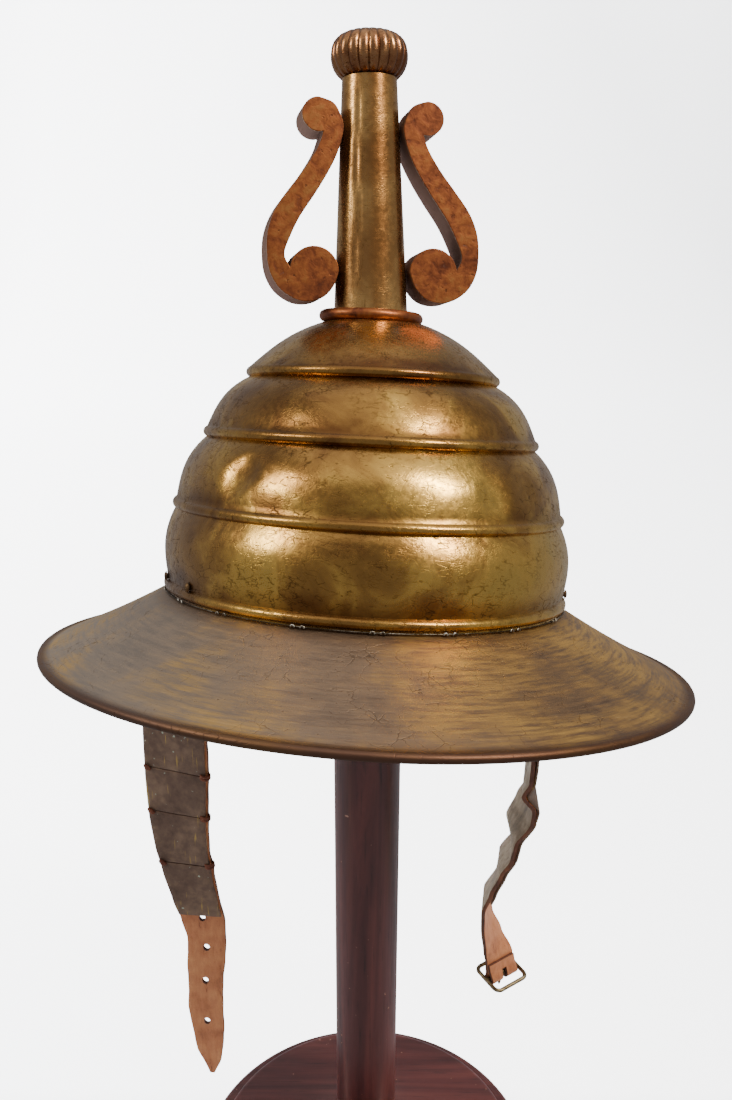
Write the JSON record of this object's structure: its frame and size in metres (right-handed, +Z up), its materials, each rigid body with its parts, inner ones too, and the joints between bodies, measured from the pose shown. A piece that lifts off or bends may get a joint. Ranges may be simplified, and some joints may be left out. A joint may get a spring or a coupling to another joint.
{
  "type": "kettle hat on a wooden stand",
  "caption": "Tall tiered metal kettle hat with wide oval brim, lyre-shaped finial and plated leather chin-strap halves, resting tilted on a turned wooden stand.",
  "frame": {"origin": "centre of the stand's underside", "axes": "+Z up along the post, -Y towards the hat's front, +X towards the hat's right-hand edge in the picture"},
  "size_m": [0.3071, 0.3514, 0.6591],
  "materials": {
    "gilding": "worn gilding, glossy, with fine dark cracks",
    "brim_brass": "dull grey-brown patina over old gilding",
    "copper": "mottled red-brown lacquered metal",
    "dark_brass": "darkened, worn to brass at the edges",
    "rivet_iron": "dark, dull",
    "buckle_brass": "worn, satin",
    "leather": "old tan leather, cracked",
    "mahogany": "dark red-brown, gloss varnish"
  },
  "bodies": {
    "hat_on_stand": {"stand_base": "mahogany", "stand_post": "mahogany", "crown": "gilding", "brim": "brim_brass", "finial_collar": "copper", "finial_column": "gilding", "finial_knob": "gilding", "lyre_scroll_left": "copper", "lyre_scroll_right": "copper", "rivet_left_1": "rivet_iron", "rivet_left_2": "rivet_iron", "rivet_right_1": "rivet_iron", "rivet_right_2": "rivet_iron", "strap_left": "leather", "strap_right": "leather", "strap_left_plate_1": "dark_brass", "strap_left_plate_2": "dark_brass", "strap_left_plate_3": "dark_brass", "strap_left_plate_4": "dark_brass", "strap_left_plate_5": "dark_brass", "strap_left_plate_6": "dark_brass", "strap_right_plate_1": "dark_brass", "strap_right_plate_2": "dark_brass", "strap_right_plate_3": "dark_brass", "strap_right_plate_4": "dark_brass", "strap_right_plate_5": "dark_brass", "strap_right_plate_6": "dark_brass"},
    "buckle": {"buckle_frame": "buckle_brass"},
    "tongue": {"buckle_tongue": "buckle_brass"}
  },
  "joints": [
    {"name": "buckle_swing", "type": "hinge", "parent": "hat_on_stand", "child": "buckle", "pos_m": [0.07555, -0.01815, 0.17263], "axis": [-0.809, -0.5878, 0], "range_deg": [-50, 35]},
    {"name": "tongue_swing", "type": "hinge", "parent": "buckle", "child": "tongue", "pos_m": [0.07555, -0.01815, 0.17263], "axis": [-0.809, -0.5878, 0], "range_deg": [-70, 50]}
  ]
}
